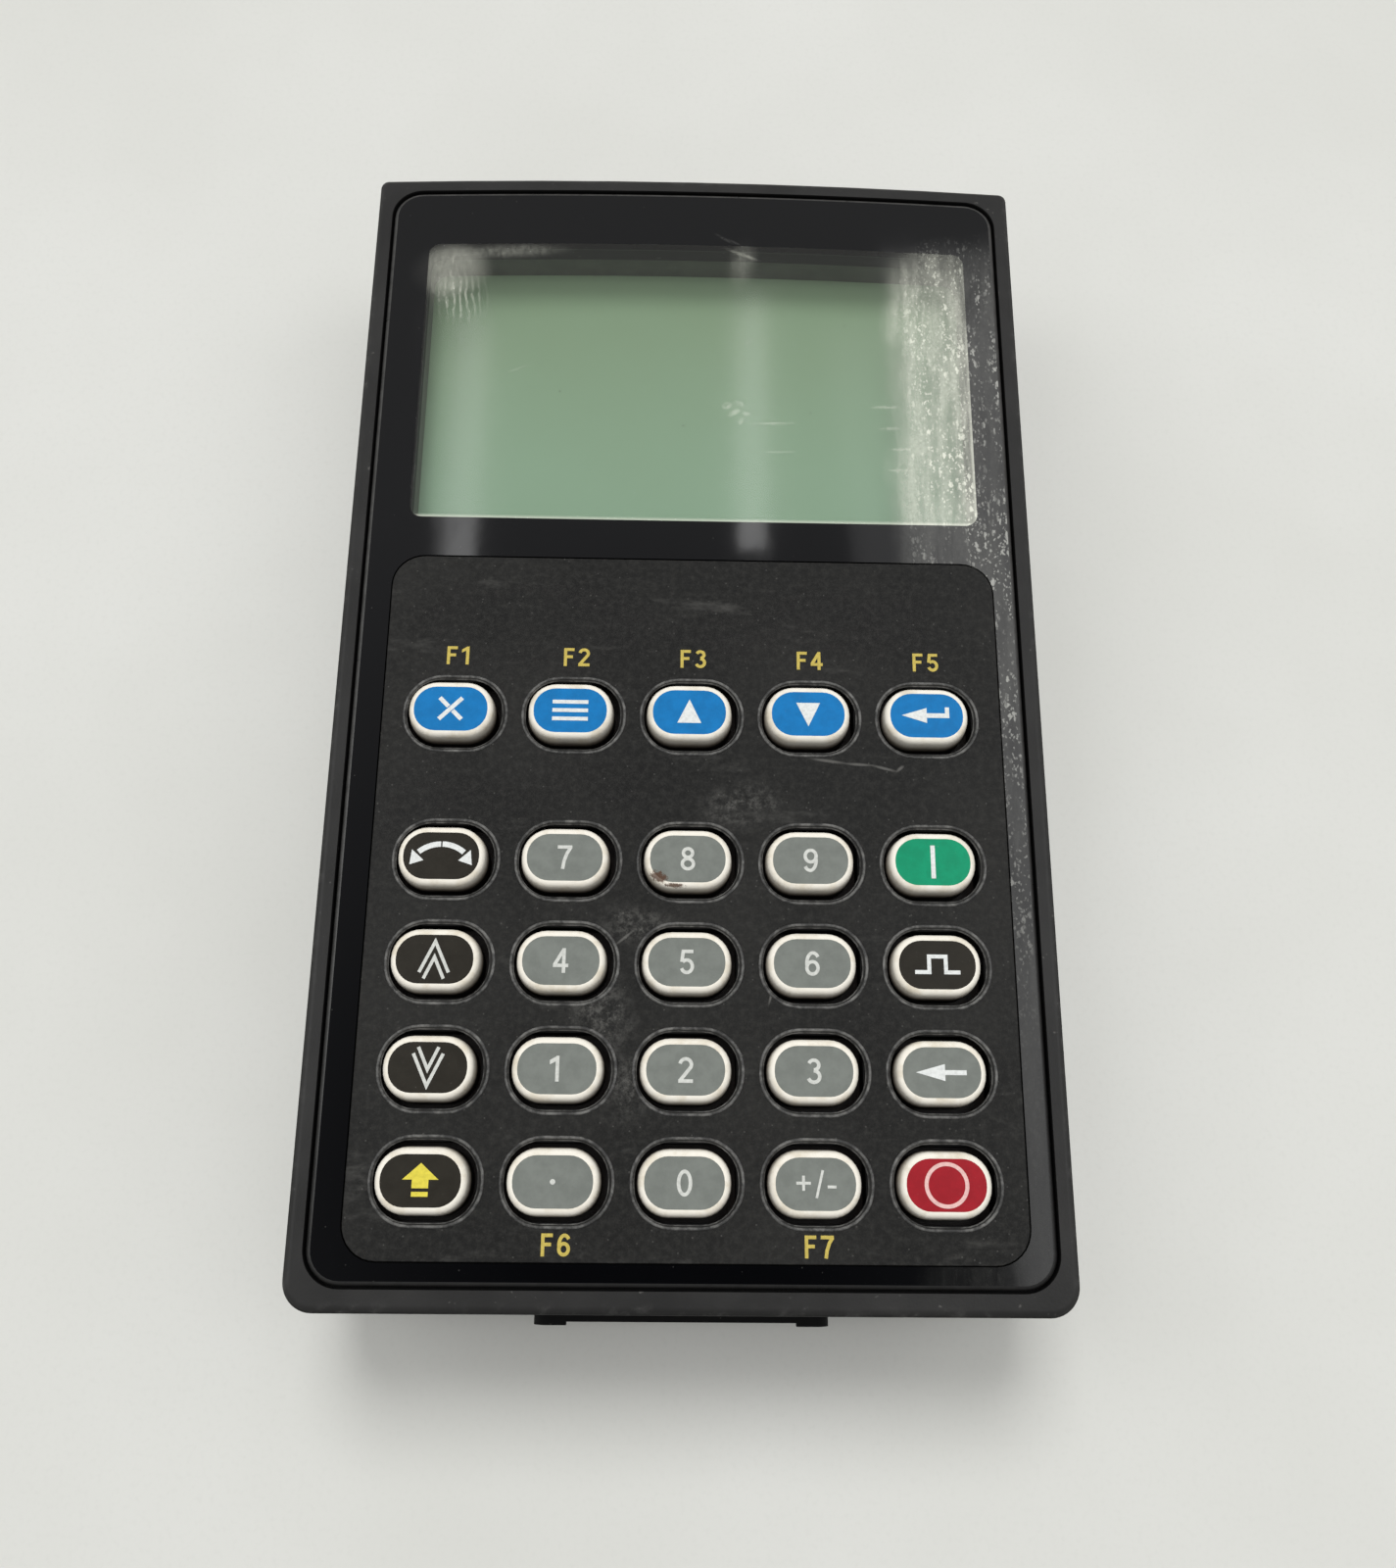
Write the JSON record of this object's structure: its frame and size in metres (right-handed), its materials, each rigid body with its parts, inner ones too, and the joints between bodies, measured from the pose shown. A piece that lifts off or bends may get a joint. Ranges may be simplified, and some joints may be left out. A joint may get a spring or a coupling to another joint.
{
  "type": "drive keypad module",
  "caption": "Slim hand-sized operator keypad with a display window, a field of sprung rubber keys, side rails and a lower data port, for slotting into the front of a motor drive.",
  "frame": {"origin": "centre of the flat rear face", "axes": "+Z out of the front, +Y towards the display end, +X to the right of someone using it"},
  "size_m": [0.0764, 0.1319, 0.0254],
  "materials": {
    "bezel_plastic": "fine moulded texture",
    "clear_overlay": "clear, glossy, lightly scratched",
    "black_bond": "black print behind the clear overlay",
    "matte_label": "matte film",
    "ivory_rubber": "smooth rubber with printed tops",
    "contact_rubber": "plain rubber",
    "pale_plastic": "plain moulded",
    "display_cell": "reflective green liquid crystal cell",
    "light_guide": "clear moulded",
    "board_laminate": "coated laminate",
    "chip_resin": "moulded resin",
    "can_metal": "satin",
    "screw_steel": "plated",
    "shell_metal": "plated",
    "pin_brass": "plated"
  },
  "bodies": {
    "case": {"front_housing": "bezel_plastic", "rear_housing": "bezel_plastic", "front_overlay": "clear_overlay", "overlay_mask": "black_bond", "keypad_label": "matte_label", "keypad_mat": "contact_rubber", "lcd_frame": "pale_plastic", "lcd_glass": "display_cell", "backlight_guide": "light_guide", "backlight_leds": "light_guide", "lcd_contact_strips": "contact_rubber", "main_board": "board_laminate", "control_chip": "chip_resin", "board_chips": "chip_resin", "board_capacitors": "can_metal", "board_screws": "screw_steel", "case_screws": "screw_steel", "port_body": "bezel_plastic", "port_shell": "shell_metal", "port_pins": "pin_brass"},
    "key_escape": {"key_escape": "ivory_rubber"},
    "key_select": {"key_select": "ivory_rubber"},
    "key_up": {"key_up": "ivory_rubber"},
    "key_down": {"key_down": "ivory_rubber"},
    "key_enter": {"key_enter": "ivory_rubber"},
    "key_direction": {"key_direction": "ivory_rubber"},
    "key_7": {"key_7": "ivory_rubber"},
    "key_8": {"key_8": "ivory_rubber"},
    "key_9": {"key_9": "ivory_rubber"},
    "key_start": {"key_start": "ivory_rubber"},
    "key_faster": {"key_faster": "ivory_rubber"},
    "key_4": {"key_4": "ivory_rubber"},
    "key_5": {"key_5": "ivory_rubber"},
    "key_6": {"key_6": "ivory_rubber"},
    "key_jog": {"key_jog": "ivory_rubber"},
    "key_slower": {"key_slower": "ivory_rubber"},
    "key_1": {"key_1": "ivory_rubber"},
    "key_2": {"key_2": "ivory_rubber"},
    "key_3": {"key_3": "ivory_rubber"},
    "key_backspace": {"key_backspace": "ivory_rubber"},
    "key_shift": {"key_shift": "ivory_rubber"},
    "key_point": {"key_point": "ivory_rubber"},
    "key_0": {"key_0": "ivory_rubber"},
    "key_sign": {"key_sign": "ivory_rubber"},
    "key_stop": {"key_stop": "ivory_rubber"}
  },
  "joints": [
    {"name": "key_escape_press", "type": "slide", "parent": "case", "child": "key_escape", "axis": [0, 0, -1], "range_m": [0, 0.0009], "stiffness_N_per_m": 1000, "springref_m": -0.0005},
    {"name": "key_select_press", "type": "slide", "parent": "case", "child": "key_select", "axis": [0, 0, -1], "range_m": [0, 0.0009], "stiffness_N_per_m": 1000, "springref_m": -0.0005},
    {"name": "key_up_press", "type": "slide", "parent": "case", "child": "key_up", "axis": [0, 0, -1], "range_m": [0, 0.0009], "stiffness_N_per_m": 1000, "springref_m": -0.0005},
    {"name": "key_down_press", "type": "slide", "parent": "case", "child": "key_down", "axis": [0, 0, -1], "range_m": [0, 0.0009], "stiffness_N_per_m": 1000, "springref_m": -0.0005},
    {"name": "key_enter_press", "type": "slide", "parent": "case", "child": "key_enter", "axis": [0, 0, -1], "range_m": [0, 0.0009], "stiffness_N_per_m": 1000, "springref_m": -0.0005},
    {"name": "key_direction_press", "type": "slide", "parent": "case", "child": "key_direction", "axis": [0, 0, -1], "range_m": [0, 0.0009], "stiffness_N_per_m": 1000, "springref_m": -0.0005},
    {"name": "key_7_press", "type": "slide", "parent": "case", "child": "key_7", "axis": [0, 0, -1], "range_m": [0, 0.0009], "stiffness_N_per_m": 1000, "springref_m": -0.0005},
    {"name": "key_8_press", "type": "slide", "parent": "case", "child": "key_8", "axis": [0, 0, -1], "range_m": [0, 0.0009], "stiffness_N_per_m": 1000, "springref_m": -0.0005},
    {"name": "key_9_press", "type": "slide", "parent": "case", "child": "key_9", "axis": [0, 0, -1], "range_m": [0, 0.0009], "stiffness_N_per_m": 1000, "springref_m": -0.0005},
    {"name": "key_start_press", "type": "slide", "parent": "case", "child": "key_start", "axis": [0, 0, -1], "range_m": [0, 0.0009], "stiffness_N_per_m": 1000, "springref_m": -0.0005},
    {"name": "key_faster_press", "type": "slide", "parent": "case", "child": "key_faster", "axis": [0, 0, -1], "range_m": [0, 0.0009], "stiffness_N_per_m": 1000, "springref_m": -0.0005},
    {"name": "key_4_press", "type": "slide", "parent": "case", "child": "key_4", "axis": [0, 0, -1], "range_m": [0, 0.0009], "stiffness_N_per_m": 1000, "springref_m": -0.0005},
    {"name": "key_5_press", "type": "slide", "parent": "case", "child": "key_5", "axis": [0, 0, -1], "range_m": [0, 0.0009], "stiffness_N_per_m": 1000, "springref_m": -0.0005},
    {"name": "key_6_press", "type": "slide", "parent": "case", "child": "key_6", "axis": [0, 0, -1], "range_m": [0, 0.0009], "stiffness_N_per_m": 1000, "springref_m": -0.0005},
    {"name": "key_jog_press", "type": "slide", "parent": "case", "child": "key_jog", "axis": [0, 0, -1], "range_m": [0, 0.0009], "stiffness_N_per_m": 1000, "springref_m": -0.0005},
    {"name": "key_slower_press", "type": "slide", "parent": "case", "child": "key_slower", "axis": [0, 0, -1], "range_m": [0, 0.0009], "stiffness_N_per_m": 1000, "springref_m": -0.0005},
    {"name": "key_1_press", "type": "slide", "parent": "case", "child": "key_1", "axis": [0, 0, -1], "range_m": [0, 0.0009], "stiffness_N_per_m": 1000, "springref_m": -0.0005},
    {"name": "key_2_press", "type": "slide", "parent": "case", "child": "key_2", "axis": [0, 0, -1], "range_m": [0, 0.0009], "stiffness_N_per_m": 1000, "springref_m": -0.0005},
    {"name": "key_3_press", "type": "slide", "parent": "case", "child": "key_3", "axis": [0, 0, -1], "range_m": [0, 0.0009], "stiffness_N_per_m": 1000, "springref_m": -0.0005},
    {"name": "key_backspace_press", "type": "slide", "parent": "case", "child": "key_backspace", "axis": [0, 0, -1], "range_m": [0, 0.0009], "stiffness_N_per_m": 1000, "springref_m": -0.0005},
    {"name": "key_shift_press", "type": "slide", "parent": "case", "child": "key_shift", "axis": [0, 0, -1], "range_m": [0, 0.0009], "stiffness_N_per_m": 1000, "springref_m": -0.0005},
    {"name": "key_point_press", "type": "slide", "parent": "case", "child": "key_point", "axis": [0, 0, -1], "range_m": [0, 0.0009], "stiffness_N_per_m": 1000, "springref_m": -0.0005},
    {"name": "key_0_press", "type": "slide", "parent": "case", "child": "key_0", "axis": [0, 0, -1], "range_m": [0, 0.0009], "stiffness_N_per_m": 1000, "springref_m": -0.0005},
    {"name": "key_sign_press", "type": "slide", "parent": "case", "child": "key_sign", "axis": [0, 0, -1], "range_m": [0, 0.0009], "stiffness_N_per_m": 1000, "springref_m": -0.0005},
    {"name": "key_stop_press", "type": "slide", "parent": "case", "child": "key_stop", "axis": [0, 0, -1], "range_m": [0, 0.0009], "stiffness_N_per_m": 1000, "springref_m": -0.0005}
  ]
}
